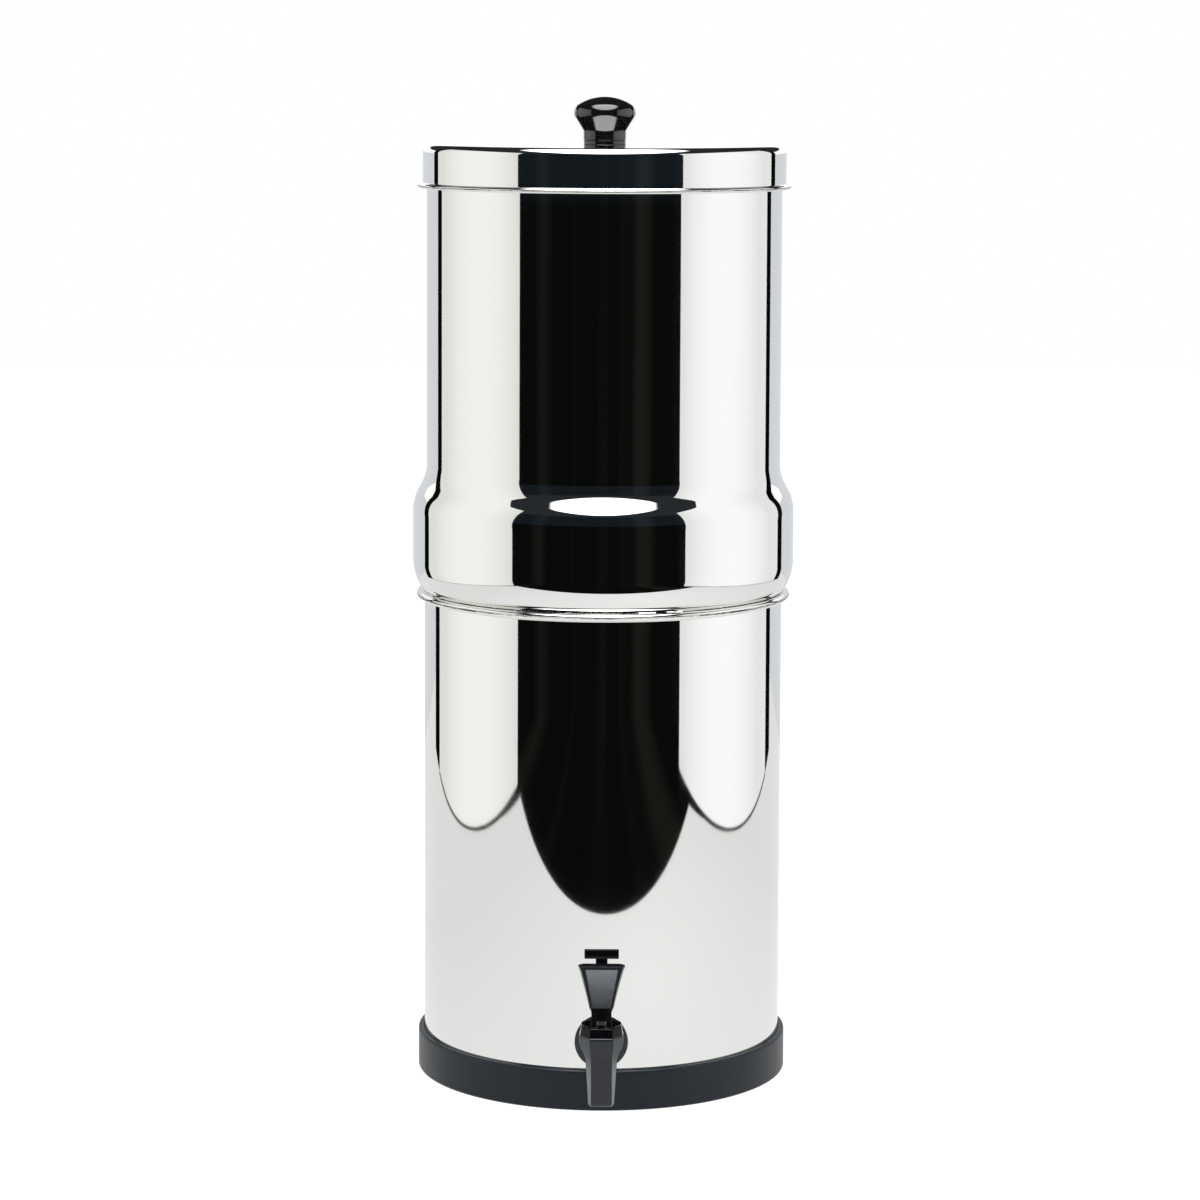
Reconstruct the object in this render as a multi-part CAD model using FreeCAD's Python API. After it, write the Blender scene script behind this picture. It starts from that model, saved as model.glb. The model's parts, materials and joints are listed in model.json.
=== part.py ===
"""Gravity water filter: two stacked steel chambers, black filter elements, a lid and a self-closing tap.

All sizes are in millimetres. The origin is the middle of the base, +Z is up and the tap faces -Y.
"""

import FreeCAD
import Part

import math
import os

Vec = FreeCAD.Vector
UP = Vec(0, 0, 1)

# Sheet metal
wall = 0.8  # thickness of the pressed steel sheet
seat_gap = 0.3  # gap left under a piece that is lifted off
bead_r = 2.5  # radius of the rolled rim of the lower chamber
rim_turn = 40.0  # half the angle that the roll's outer arc covers
past = 1.0  # how far a cut reaches past what it cuts

# Base ring
ring_wall = 4.0  # from the chamber's wall to the ring's outside
ring_height = 26.7
ring_fit = 0.15  # radial gap between ring and chamber
ledge_z = 5.0  # height of the ledge that the chamber stands on
ledge_width = 8.0  # how far the ledge reaches under the chamber's flat bottom
ring_edge = 1.2  # bevel on the ring's outer edges

# Lower chamber
lower_r = 121.0
lower_corner = 5.0
rim_z = 325.1  # height of the rolled rim's centre
rim_reach = 2.6  # from the wall to the rolled rim's centre

# Upper chamber
upper_inset = 1.55  # from the lower chamber's wall in to this one's
upper_height = 299.0  # from its seat to its brim
belly_reach = 7.7  # from the lower chamber's wall out to the belly
belly_rise = 20.1  # from the seat to the belly's foot
belly_height = 34.0  # straight part of the belly
belly_under_arc = 32.0  # arc that turns the belly in over the rim
shoulder_arc = 28.0  # arcs at both ends of the shoulder's cone
shoulder_lean = 28.5  # degrees that the cone leans inwards
nest_gap = 0.6  # radial gap between the nesting step and the lower chamber
nest_depth = 11.9  # how far the upper chamber reaches into the lower one
nest_corner = 3.0
lip_reach = 1.45  # how far the upper chamber's lip stands out
lip_top_drop = 0.8  # the rim's bevel, down to the outside of the wall
lip_edge_drop = 2.6  # down to the lip's edge
lip_height = 4.0

# Lid
lid_fit = 0.4  # radial gap between lid skirt and chamber lip
lid_height = 29.2
lid_corner = 5.0
lid_corner_in = 2.6  # bevel inside the lid's corner
lid_bead_r = 1.6
lid_bead_edge = 1.0  # bevel on the bead's edges

# Lid knob and its screw
knob_r = 20.8
knob_height = 32.2
knob_neck_r = 14.3
knob_neck_height = 9.3
knob_groove = 0.4  # depth of the line round the neck
knob_groove_z = 3.0
knob_belt_z = 21.5  # height of the knob's widest line
knob_flare = 32.0  # degrees that the cone under the belt leans out
knob_crown_arc = 33.4  # radius of the domed crown
screw_r = 2.5
screw_length = 18.0
screw_head_r = 4.8
screw_head_height = 3.2
screw_play = 0.15
screw_slot = 1.2  # width and depth of the screwdriver slot
knob_washer_r = 9.0
knob_washer_height = 1.2

# Filter elements
element_r = 35.0
element_height = 222.0
element_crown = 6.0  # bevelled crown of an element
element_roof = 20.0  # solid carbon above the bore
hole_share = 0.512  # radius of the circle of floor holes, as a share of the chamber's
base_r = 36.5
base_height = 12.0
base_taper = 6.0  # bevel under the base cap
base_taper_height = 4.0
stem_r = 6.3
stem_length = 31.0
stem_bore_r = 3.2
hole_play = 0.35  # radial gap between a stem and its floor hole
gasket_r = 12.5
gasket_height = 2.0
wing_hub_r = 9.0
wing_hub_height = 9.0
wing_span = 34.0
wing_thickness = 3.0
wing_height = 13.0
wing_tip = 3.0  # width of a wing's tip
wing_root = 5.0  # height of a wing at the hub
wing_sink = 2.0  # how far a wing reaches into the hub
thread_play = 0.05  # radial gap of a screwed joint
plug_head_r = 12.5
plug_head_height = 4.0
plug_depth = 8.0  # how far a plug reaches below the floor
plug_tip_r = 5.0

# Tap body and its fastening
tap_z = 46.4  # height of the shank
tap_reach = 27.0  # from the chamber's wall to the barrel's axis
shank_r = 8.0
shank_play = 0.3
shank_inside = 17.0  # length of the shank inside the chamber
shank_bore_r = 5.0
flange_r = 17.5
flange_thick = 4.0
flange_edge = 1.5
tap_washer_r = 16.0
tap_washer_thick = 2.0
inner_washer_r = 13.0
inner_washer_thick = 3.0
nut_across = 26.0
nut_thick = 7.0
barrel_rise = 9.6  # from the shank's axis up to the barrel's top
barrel_slope = 5.8  # height of the sloping faces round the barrel's top
knee_rise = 0.1  # up to where the barrel starts to narrow
waist_drop = 12.4  # from the shank's axis down to the waist
spout_drop = 33.4  # down to the spout's edge
spout_edge = 1.7  # height of the bevel at the spout's end
barrel_top_half = 12.9
body_half = 14.3
waist_half = 10.3
spout_half = 8.4
spout_end_half = 7.0
barrel_top_chamfer = 5.9
body_chamfer = 6.6
waist_chamfer = 3.4
spout_chamfer = 1.6
outlet_r = 6.0
valve_bore_r = 9.4
seat_drop = 6.4  # from the shank's axis down to the valve seat

# Bonnet, stem, spring and lever
bonnet_r = 12.8
bonnet_rim = 2.2
bonnet_height = 6.0
bonnet_plate = 3.0  # thickness of the bonnet's crown
bonnet_crown_r = 10.2
bonnet_skirt = 4.5  # how far the bonnet screws into the barrel
bonnet_wall = 1.8
stem_rod_r = 2.9
rod_play = 0.1
cup_r = 7.6
cup_height = 5.0
cup_floor = 2.0
cup_edge = 1.0
seat_press = 0.1  # gap under the closed seat cup
spring_r = 5.6
spring_wire = 0.9
spring_turns = 2.5
pin_r = 1.5
pin_play = 0.05
cam_height = 4.8  # from the pin down to the cam's flat foot
cam_clearance = 0.2  # gap between the cam's foot and the bonnet
lever_open = 45.0  # degrees that the lever swings forward
stem_lift = 4.0  # how far the stem rises over that swing
cheek_half = 6.5
slot_half = 3.2
slot_headroom = 1.6  # gap between the stem's top and the slot's roof
web_reach = 4.2  # from the pin forward to the web that closes the slot's front
web_rise = 0.5  # from the pin's axis up to the web
cam_back = 5.0
heel_rise = 2.0  # above the pin
toe_rise = 3.5  # above the pin, where the toe ends
toe_reach = 2.0  # how far the toe's top stands out from the neck
toe_steps = 6  # straight runs that the toe's curve is drawn with
neck_depth = 9.0
throat_rise = 2.5  # from the paddle's foot up to its narrowest part
throat_lean = 1.0
paddle_low = 6.5  # above the pin
paddle_top = 37.3  # above the pin
paddle_half_low = 8.0
paddle_half_top = 15.1
paddle_thick_low = 7.0
paddle_thick_top = 9.5
paddle_lean = 6.0  # how far the paddle's top stands forward of the pin
panel_border = 3.6
panel_depth = 1.6
panel_draft = 1.0  # how much narrower the recess is at its bottom
panel_foot = 3.5  # from the paddle's foot up to the recess
panel_head = 2.6  # from the recess up to the paddle's top
panel_side_low = 1.7
tab_width = 22.2
tab_height = 5.9
tab_neck_width = 7.6
tab_neck_height = 3.6
tab_thick = 3.0
joint_sink = 1.0  # how far one part of a moulding is sunk into the next

# Values worked out from those above
tap_y = -(lower_r + tap_reach)
lower_in = lower_r - wall
ring_r = lower_r + ring_wall
ledge_r = lower_r - lower_corner - ledge_width
rim_r = lower_r + rim_reach
rim_top = rim_z + bead_r
nest_r = lower_in - nest_gap
nest_top = rim_top + seat_gap
floor_low = nest_top - nest_depth
floor_top = floor_low + wall
upper_r = lower_r - upper_inset
upper_in = upper_r - wall
upper_top = nest_top + upper_height
belly_r = lower_r + belly_reach
belly_low = nest_top + belly_rise
belly_high = belly_low + belly_height
element_circle = hole_share * lower_r
lid_in = upper_r + lip_reach + lid_fit
lid_r = lid_in + wall
lid_under = upper_top + seat_gap
lid_top = lid_under + wall
body_top = tap_z + barrel_rise
body_knee = tap_z + knee_rise
body_waist = tap_z - waist_drop
spout_low = tap_z - spout_drop
spout_end = spout_low - spout_edge
seat_z = tap_z - seat_drop
bonnet_top = body_top + bonnet_height
bonnet_under = bonnet_top - bonnet_plate
cam_z = bonnet_top + cam_clearance
pin_z = cam_z + cam_height
cup_low = seat_z + seat_press
bonnet_low = body_top - bonnet_skirt
parts = {}


def outline(points):
    """Closed wire in the XZ plane, from corners and from (middle, end) pairs that draw an arc."""
    edges = []
    here = points[0]
    for item in points[1:] + [points[0]]:
        if isinstance(item[0], tuple):
            middle, end = item
            arc = Part.Arc(at(here), at(middle), at(end))
            edges.append(arc.toShape())
        else:
            end = item
            edges.append(Part.makeLine(at(here), at(end)))
        here = end
    return Part.Wire(edges)


def at(point):
    return Vec(point[0], 0, point[1])


def turned(points, x=0.0, y=0.0, z=0.0):
    """A solid of revolution about Z from (radius, height) points, moved to x, y, z."""
    solid = Part.Face(outline(points)).revolve(Vec(0, 0, 0), UP, 360)
    solid.translate(Vec(x, y, z))
    return solid


def rod(radius, low, high, x=0.0, y=0.0):
    return Part.makeCylinder(radius, high - low, Vec(x, y, low), UP)


def crosswise(radius, y_from, y_to, z):
    """A cylinder along Y."""
    return Part.makeCylinder(radius, y_to - y_from, Vec(0, y_from, z), Vec(0, 1, 0))


def sideways(radius, half_length):
    """A cylinder along X about the lever's pin."""
    return Part.makeCylinder(radius, 2 * half_length, Vec(-half_length, tap_y, pin_z), Vec(1, 0, 0))


def arc_point(centre_x, centre_z, radius, degrees):
    a = math.radians(degrees)
    return (centre_x + radius * math.cos(a), centre_z + radius * math.sin(a))


def hexagon(across, low, high):
    """A hexagonal prism along Z."""
    corner = across / 2 / math.cos(math.pi / 6)
    ring = [Vec(corner * math.cos(k * math.pi / 3), corner * math.sin(k * math.pi / 3), low)
            for k in range(7)]
    return Part.Face(Part.makePolygon(ring)).extrude(Vec(0, 0, high - low))


def box(x_low, x_high, y_low, y_high, z_low, z_high):
    return Part.makeBox(x_high - x_low, y_high - y_low, z_high - z_low, Vec(x_low, y_low, z_low))


def floor_holes():
    """Centres of the four holes in the upper chamber's floor: elements on X, blanking plugs on Y."""
    return [(element_circle, 0.0), (-element_circle, 0.0), (0.0, element_circle), (0.0, -element_circle)]


def base_ring():
    inner = lower_r + ring_fit
    return turned([
        (ledge_r, 0), (ring_r - ring_edge, 0), (ring_r, ring_edge), (ring_r, ring_height - ring_edge),
        (ring_r - ring_edge, ring_height), (inner, ring_height), (inner, ledge_z), (ledge_r, ledge_z),
    ])


def lower_chamber():
    """Straight pot with a rolled rim and a hole for the tap."""
    low = ledge_z
    roll = [arc_point(rim_r, rim_z, bead_r, a) for a in (-rim_turn, 0, rim_turn)]
    flat = bead_r * math.tan(math.radians(rim_turn / 2))
    pot = turned([
        (0, low), (lower_r - lower_corner, low), (lower_r, low + lower_corner),
        (lower_r, rim_z - bead_r), (rim_r + flat / 2, rim_z - bead_r), roll[0], (roll[1], roll[2]),
        (rim_r + flat / 2, rim_top),
        (lower_in, rim_top), (lower_in, low + lower_corner + wall / 2),
        (lower_r - lower_corner - wall / 2, low + wall), (0, low + wall),
    ])
    return pot.cut(crosswise(shank_r + shank_play, -lower_r - past, -lower_in + past, tap_z))


def shoulder_points(radius_at_wall, radius_at_belly):
    """The shoulder from the belly up to the wall: an arc, a cone and an arc back, all tangent."""
    lean = math.radians(shoulder_lean)
    cone_step = radius_at_belly - radius_at_wall - 2 * shoulder_arc * (1 - math.cos(lean))
    low_x, high_x = radius_at_belly - shoulder_arc, radius_at_wall + shoulder_arc
    high_z = belly_high + 2 * shoulder_arc * math.sin(lean) + cone_step / math.tan(lean)
    return [
        (arc_point(low_x, belly_high, shoulder_arc, shoulder_lean / 2),
         arc_point(low_x, belly_high, shoulder_arc, shoulder_lean)),
        arc_point(high_x, high_z, shoulder_arc, 180 + shoulder_lean),
        (arc_point(high_x, high_z, shoulder_arc, 180 + shoulder_lean / 2), (radius_at_wall, high_z)),
    ]


def upper_chamber():
    """Straight wall, shoulder, belly, and a step that nests in the lower chamber's mouth."""
    under_x = belly_r - belly_under_arc
    under_end = math.degrees(math.asin((nest_top - belly_low) / belly_under_arc))
    under_foot = arc_point(under_x, belly_low, belly_under_arc, under_end)
    belly_in = belly_r - wall
    low_arc, cone_end, high_arc = shoulder_points(upper_in, belly_in)
    shell = turned([
        (0, floor_low), (nest_r - nest_corner, floor_low), (nest_r, floor_low + nest_corner),
        (nest_r, nest_top), under_foot,
        (arc_point(under_x, belly_low, belly_under_arc, under_end / 2), (belly_r, belly_low)),
        (belly_r, belly_high), *shoulder_points(upper_r, belly_r),
        (upper_r, upper_top - lip_height), (upper_r + lip_reach, upper_top - lip_edge_drop),
        (upper_r, upper_top - lip_top_drop), (upper_in, upper_top),
        high_arc[1], high_arc[0], cone_end, low_arc[1], (belly_in, belly_high), (belly_in, belly_low),
        (arc_point(under_x, belly_low, belly_under_arc - wall, under_end / 2)),
        (under_foot[0], nest_top + wall), (nest_r - wall, nest_top + wall),
        (nest_r - wall, floor_top + nest_corner), (nest_r - nest_corner - wall / 2, floor_top),
        (0, floor_top),
    ])
    for x, y in floor_holes():
        shell = shell.cut(rod(stem_r + hole_play, floor_low - past, floor_top + past, x, y))
    return shell


def lid():
    """Flat lid with a rounded edge, a short skirt and a small rolled bead."""
    low = lid_top - lid_height
    corner_x, corner_z = lid_r - lid_corner, lid_top - lid_corner
    bead_x = lid_r + 2 * lid_bead_r
    shell = turned([
        (0, lid_under), (lid_in - lid_corner_in, lid_under), (lid_in, lid_under - lid_corner_in),
        (lid_in, low),
        (bead_x - lid_bead_edge, low), (bead_x, low + lid_bead_edge),
        (bead_x, low + 2 * lid_bead_r - lid_bead_edge), (bead_x - lid_bead_edge, low + 2 * lid_bead_r),
        (lid_r, low + 2 * lid_bead_r), (lid_r, corner_z),
        (arc_point(corner_x, corner_z, lid_corner, 45), (corner_x, lid_top)), (0, lid_top),
    ])
    return shell.cut(rod(screw_r + screw_play, lid_under - past, lid_top + past))


def lid_knob():
    """Turned knob: a grooved neck, a cone out to a round belt, and a domed crown tangent to the belt."""
    crown_z = knob_height - knob_crown_arc
    climb = knob_belt_z - crown_z
    belt_arc = (knob_crown_arc ** 2 - knob_r ** 2 - climb ** 2) / (2 * (knob_crown_arc - knob_r))
    turn = math.degrees(math.atan2(climb, knob_r - belt_arc))
    flare = math.radians(knob_flare)
    cone_drop = knob_belt_z - knob_neck_height - (knob_r - knob_neck_r) / math.tan(flare)
    under_arc = cone_drop / (math.sin(flare) - (1 - math.cos(flare)) / math.tan(flare))
    knob = turned([
        (0, 0), (knob_neck_r, 0), (knob_neck_r, knob_groove_z - knob_groove),
        (knob_neck_r - knob_groove, knob_groove_z), (knob_neck_r, knob_groove_z + knob_groove),
        (knob_neck_r, knob_neck_height), arc_point(knob_r - under_arc, knob_belt_z, under_arc, -knob_flare),
        (arc_point(knob_r - under_arc, knob_belt_z, under_arc, -knob_flare / 2), (knob_r, knob_belt_z)),
        (arc_point(knob_r - belt_arc, knob_belt_z, belt_arc, turn / 2),
         arc_point(0, crown_z, knob_crown_arc, turn)),
        (arc_point(0, crown_z, knob_crown_arc, (turn + 90) / 2), (0, knob_height)),
    ], z=lid_top)
    return knob.cut(rod(screw_r + thread_play, lid_top - past, lid_top + screw_length - past))


def lid_knob_washer():
    disc = rod(knob_washer_r, lid_under - knob_washer_height, lid_under)
    return disc.cut(rod(screw_r + screw_play, lid_under - knob_washer_height - past, lid_under + past))


def lid_knob_screw():
    head_top = lid_under - knob_washer_height
    head = rod(screw_head_r, head_top - screw_head_height, head_top)
    shaft = rod(screw_r, head_top, head_top + screw_length)
    foot = head_top - screw_head_height
    slot = box(-screw_slot / 2, screw_slot / 2, -screw_head_r, screw_head_r, foot - past, foot + screw_slot)
    return head.fuse(shaft).cut(slot)


def element_base(x, y):
    """Cap that carries an element, with its hollow threaded stem."""
    low = floor_top + gasket_height
    high = low + base_height
    return turned([
        (stem_bore_r, floor_low - stem_length), (stem_r, floor_low - stem_length), (stem_r, low),
        (base_r - base_taper, low), (base_r, low + base_taper_height), (base_r, high), (stem_bore_r, high),
    ], x, y)


def filter_element(x, y):
    """Black carbon cylinder with a bevelled crown and a blind bore."""
    low = floor_top + gasket_height + base_height
    high = low + element_height
    return turned([
        (stem_bore_r, low), (element_r, low), (element_r, high - element_crown),
        (element_r - element_crown, high), (0, high), (0, high - element_roof),
        (stem_bore_r, high - element_roof),
    ], x, y)


def gasket(x, y):
    """Soft washer between a base cap and the floor."""
    ring = rod(gasket_r, floor_top, floor_top + gasket_height, x, y)
    return ring.cut(rod(stem_r, floor_top - past, floor_top + gasket_height + past, x, y))


def wing_nut(x, y):
    """Wing nut under the floor."""
    low = floor_low - wing_hub_height
    hub = rod(wing_hub_r, low, floor_low, x, y)
    half, tip_z = wing_span / 2, floor_low - wing_height
    foot = wing_hub_r - wing_sink
    corners = [(foot, low), (half - wing_tip, tip_z), (half, tip_z), (half, low), (foot, low + wing_root)]
    for side in (1, -1):
        ring = [Vec(x + side * px, y - wing_thickness / 2, pz) for px, pz in corners]
        hub = hub.fuse(Part.Face(Part.makePolygon(ring + ring[:1])).extrude(Vec(0, wing_thickness, 0)))
    return hub.cut(rod(stem_r + thread_play, low - wing_height, floor_low + past, x, y))


def blanking_plug(x, y):
    """Soft bung with a flat head that closes a floor hole left without an element."""
    return turned([
        (0, floor_low - plug_depth), (plug_tip_r, floor_low - plug_depth), (stem_r, floor_low),
        (stem_r, floor_top), (plug_head_r, floor_top), (plug_head_r, floor_top + plug_head_height),
        (0, floor_top + plug_head_height),
    ], x, y)


def group(maker, places):
    """Like pieces as one compound of separate solids."""
    return Part.makeCompound([maker(x, y) for x, y in places])


def chamfered_square(half, chamfer, z):
    """Eight-sided wire about the barrel's axis."""
    flat = half - chamfer
    ring = [(half, -flat), (half, flat), (flat, half), (-flat, half),
            (-half, flat), (-half, -flat), (-flat, -half), (flat, -half)]
    corners = [Vec(x, tap_y + y, z) for x, y in ring]
    return Part.makePolygon(corners + corners[:1])


def tap_body():
    """Shank, flange and a faceted barrel that narrows into a flat-faced spout."""
    sections = [
        chamfered_square(spout_end_half, spout_chamfer, spout_end),
        chamfered_square(spout_half, spout_chamfer, spout_low),
        chamfered_square(waist_half, waist_chamfer, body_waist),
        chamfered_square(body_half, body_chamfer, body_knee),
        chamfered_square(body_half, body_chamfer, body_top - barrel_slope),
        chamfered_square(barrel_top_half, barrel_top_chamfer, body_top),
    ]
    body = Part.makeLoft(sections, True, True)
    face_y = -lower_r - tap_washer_thick
    flange = turned([
        (0, 0), (flange_r, 0), (flange_r, flange_thick - flange_edge),
        (flange_r - flange_edge, flange_thick), (0, flange_thick),
    ])
    flange.rotate(Vec(0, 0, 0), Vec(1, 0, 0), 90)
    flange.translate(Vec(0, face_y, tap_z))
    body = body.fuse(flange).fuse(crosswise(shank_r, tap_y, -lower_r + shank_inside, tap_z))
    body = body.cut(crosswise(shank_bore_r, tap_y, -lower_r + shank_inside + past, tap_z))
    body = body.cut(rod(outlet_r, spout_end - past, seat_z + past, 0, tap_y))
    return body.cut(rod(valve_bore_r, seat_z, body_top + past, 0, tap_y))


def tap_outer_washer():
    """Soft washer, hollowed to the chamber's outside."""
    face_y = -lower_r - tap_washer_thick
    disc = crosswise(tap_washer_r, face_y, -lower_in, tap_z)
    disc = disc.cut(rod(lower_r + thread_play, tap_z - 2 * tap_washer_r, tap_z + 2 * tap_washer_r))
    return disc.cut(crosswise(shank_r + thread_play, face_y - past, -lower_in, tap_z))


def tap_inner_washer():
    """Soft washer, rounded to the chamber's inside."""
    face_y = -lower_in + inner_washer_thick
    disc = crosswise(inner_washer_r, -lower_r, face_y, tap_z)
    inside = rod(lower_in - thread_play, tap_z - 2 * inner_washer_r, tap_z + 2 * inner_washer_r)
    return disc.common(inside).cut(crosswise(shank_r + thread_play, -lower_r, face_y + past, tap_z))


def tap_lock_nut():
    """Hexagonal nut that pulls the tap against the chamber."""
    face_y = -lower_in + inner_washer_thick
    nut = hexagon(nut_across, 0, nut_thick)
    nut.rotate(Vec(0, 0, 0), Vec(1, 0, 0), -90)
    nut.translate(Vec(0, face_y, tap_z))
    return nut.cut(crosswise(shank_r + thread_play, face_y - past, face_y + nut_thick + past, tap_z))


def tap_bonnet():
    """Screw cap on the barrel, with a flat crown that the cam rocks on."""
    low = bonnet_low
    inner = valve_bore_r - bonnet_wall
    return turned([
        (stem_rod_r + rod_play, bonnet_top), (bonnet_crown_r, bonnet_top),
        (bonnet_r, body_top + bonnet_rim), (bonnet_r, body_top), (valve_bore_r - thread_play, body_top),
        (valve_bore_r - thread_play, low), (inner, low), (inner, bonnet_under),
        (stem_rod_r + rod_play, bonnet_under),
    ], y=tap_y)


def tap_stem():
    """Rod that lifts the seat cup, with a cross hole for the lever's pin."""
    rod_top = pin_z + stem_rod_r
    stem = rod(stem_rod_r, cup_low + cup_floor, rod_top, 0, tap_y)
    hole = sideways(pin_r + pin_play, 2 * stem_rod_r)
    return stem.cut(hole)


def tap_seat_cup():
    """Soft cup on the stem's foot that closes the outlet."""
    cup = turned([
        (0, cup_low), (cup_r, cup_low), (cup_r, cup_low + cup_height - cup_edge),
        (cup_r - cup_edge, cup_low + cup_height), (0, cup_low + cup_height),
    ], y=tap_y)
    return cup.cut(rod(stem_rod_r + thread_play, cup_low + cup_floor, cup_low + cup_height + past, 0, tap_y))


def tap_spring():
    """Flat-wire spring between the seat cup and the bonnet."""
    low = cup_low + cup_height + spring_wire / 2
    high = bonnet_under - spring_wire / 2
    pitch = (high - low) / spring_turns
    path = Part.makeHelix(pitch, high - low, spring_r)
    half = spring_wire / 2
    corners = [Vec(spring_r + a * half, 0, b * half) for a, b in ((-1, -1), (1, -1), (1, 1), (-1, 1))]
    coil = Part.Wire(path).makePipeShell([Part.makePolygon(corners + corners[:1])], True, True)
    coil.translate(Vec(0, tap_y, low))
    return coil


def cam_outline():
    """Side outline of the lever's foot, whose toe is an involute, so the stem rises evenly with the swing."""
    rise = stem_lift / math.radians(lever_open)
    toe = []
    for k in range(toe_steps + 1):
        a = math.radians(lever_open) * k / toe_steps
        reach = cam_height + rise * a
        toe.append((-reach * math.sin(a) - rise * math.cos(a), -reach * math.cos(a) + rise * math.sin(a)))
    back = neck_depth / 2
    return [(cam_back, -cam_height)] + toe + [(-back - toe_reach, toe_rise), (-back, paddle_low),
                                              (back, paddle_low), (cam_back, heel_rise)]


def paddle_section(half, thick, y, z):
    """Cross-section of the paddle, seen from above, with its back corners cut."""
    cut = thick / 3
    ring = [(-half, -thick / 2), (half, -thick / 2), (half, thick / 2 - cut), (half - cut, thick / 2),
            (-half + cut, thick / 2), (-half, thick / 2 - cut)]
    corners = [Vec(px, tap_y + y + py, pin_z + z) for px, py in ring]
    return Part.makePolygon(corners + corners[:1])


def tap_lever():
    """Cam foot with two cheeks, flared paddle with a sunk front panel, and a tab above it."""
    side = [Vec(-cheek_half, tap_y + y, pin_z + z) for y, z in cam_outline()]
    foot = Part.Face(Part.makePolygon(side + side[:1])).extrude(Vec(2 * cheek_half, 0, 0))
    back, foot_z = tap_y + bonnet_r, pin_z - 2 * cam_height
    slot = box(-slot_half, slot_half, tap_y - web_reach, back, foot_z, pin_z + stem_rod_r + slot_headroom)
    slot = slot.fuse(box(-slot_half, slot_half, tap_y - bonnet_r, back, foot_z, pin_z + web_rise))
    hole = sideways(pin_r, 2 * cheek_half)
    foot = foot.cut(slot).cut(hole)
    paddle = Part.makeLoft([
        paddle_section(cheek_half, neck_depth, 0, paddle_low - joint_sink),
        paddle_section(paddle_half_low, paddle_thick_low, -throat_lean, paddle_low + throat_rise),
        paddle_section(paddle_half_top, paddle_thick_top, -paddle_lean, paddle_top),
    ], True, True)
    return foot.fuse(paddle).cut(front_panel()).fuse(tab()).removeSplitter()


def front_panel():
    """Tapered recess in the paddle's front."""
    def rim(z, half, y):
        front = tap_y + y
        inner = half - panel_draft
        ring = [Vec(-half, front - paddle_lean, pin_z + z), Vec(half, front - paddle_lean, pin_z + z),
                Vec(inner, front + panel_depth, pin_z + z), Vec(-inner, front + panel_depth, pin_z + z)]
        return Part.makePolygon(ring + ring[:1])
    low, high = paddle_low + panel_foot, paddle_top - panel_head
    throat = paddle_low + throat_rise
    share = (high - throat) / (paddle_top - throat)
    front_low = -throat_lean - paddle_thick_low / 2
    front_high = front_low + share * (throat_lean - paddle_lean + (paddle_thick_low - paddle_thick_top) / 2)
    half_high = paddle_half_low + share * (paddle_half_top - paddle_half_low) - panel_border
    half_low = paddle_half_low - panel_side_low
    return Part.makeLoft([rim(low, half_low, front_low), rim(high, half_high, front_high)], True, True)


def tab():
    """T-shaped tab that stands on the paddle's top."""
    back = tap_y - paddle_lean + paddle_thick_top / 2
    foot = pin_z + paddle_top
    neck = box(-tab_neck_width / 2, tab_neck_width / 2, back - tab_thick, back, foot - joint_sink,
               foot + tab_neck_height)
    bar = box(-tab_width / 2, tab_width / 2, back - tab_thick, back, foot + tab_neck_height,
              foot + tab_neck_height + tab_height)
    return neck.fuse(bar)


def tap_lever_pin():
    return sideways(pin_r, cheek_half)


def build():
    """Make every piece and write each to its own file."""
    holes = floor_holes()
    elements, plugs = holes[:2], holes[2:]
    parts.update(
        base_ring=base_ring(), lower_chamber=lower_chamber(), upper_chamber=upper_chamber(),
        lid=lid(), lid_knob=lid_knob(), lid_knob_washer=lid_knob_washer(), lid_knob_screw=lid_knob_screw(),
        element_gaskets=group(gasket, elements), wing_nuts=group(wing_nut, elements),
        blanking_plugs=group(blanking_plug, plugs),
        tap_body=tap_body(), tap_outer_washer=tap_outer_washer(), tap_inner_washer=tap_inner_washer(),
        tap_lock_nut=tap_lock_nut(), tap_bonnet=tap_bonnet(), tap_stem=tap_stem(),
        tap_seat_cup=tap_seat_cup(), tap_spring=tap_spring(), tap_lever=tap_lever(),
        tap_lever_pin=tap_lever_pin(),
    )
    for number, (x, y) in enumerate(elements, 1):
        parts[f"filter_element_{number}"] = filter_element(x, y)
        parts[f"element_base_{number}"] = element_base(x, y)
    os.makedirs("parts", exist_ok=True)
    for name, shape in parts.items():
        shape.exportStep(f"parts/{name}.step")
        print(name, "solids", len(shape.Solids), "valid", shape.isValid(), "volume", round(shape.Volume, 1))


build()
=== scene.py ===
"""Looks of a two-chamber gravity water filter: polished steel, black mouldings and a self-closing tap."""

import json
import math

import bmesh
import bpy
from bpy.props import FloatProperty, FloatVectorProperty, IntProperty, PointerProperty
from mathutils import Matrix, Vector


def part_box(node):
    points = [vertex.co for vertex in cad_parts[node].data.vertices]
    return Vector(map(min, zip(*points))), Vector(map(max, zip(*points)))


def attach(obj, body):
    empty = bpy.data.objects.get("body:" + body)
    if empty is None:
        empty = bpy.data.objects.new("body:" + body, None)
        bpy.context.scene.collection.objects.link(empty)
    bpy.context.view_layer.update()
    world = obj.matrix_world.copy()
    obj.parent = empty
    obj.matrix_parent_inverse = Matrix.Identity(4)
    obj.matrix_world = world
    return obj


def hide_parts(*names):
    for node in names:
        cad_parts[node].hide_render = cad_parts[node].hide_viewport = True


bl_info = {
    "name": "Gravity Water Filter",
    "version": (1, 0, 0),
    "blender": (4, 5, 0),
    "location": "3D View > Sidebar > Water Filter",
    "description": "Builds the visible surfaces of a gravity water filter with a tap, and its photo stage",
    "category": "Add Mesh",
}

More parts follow.
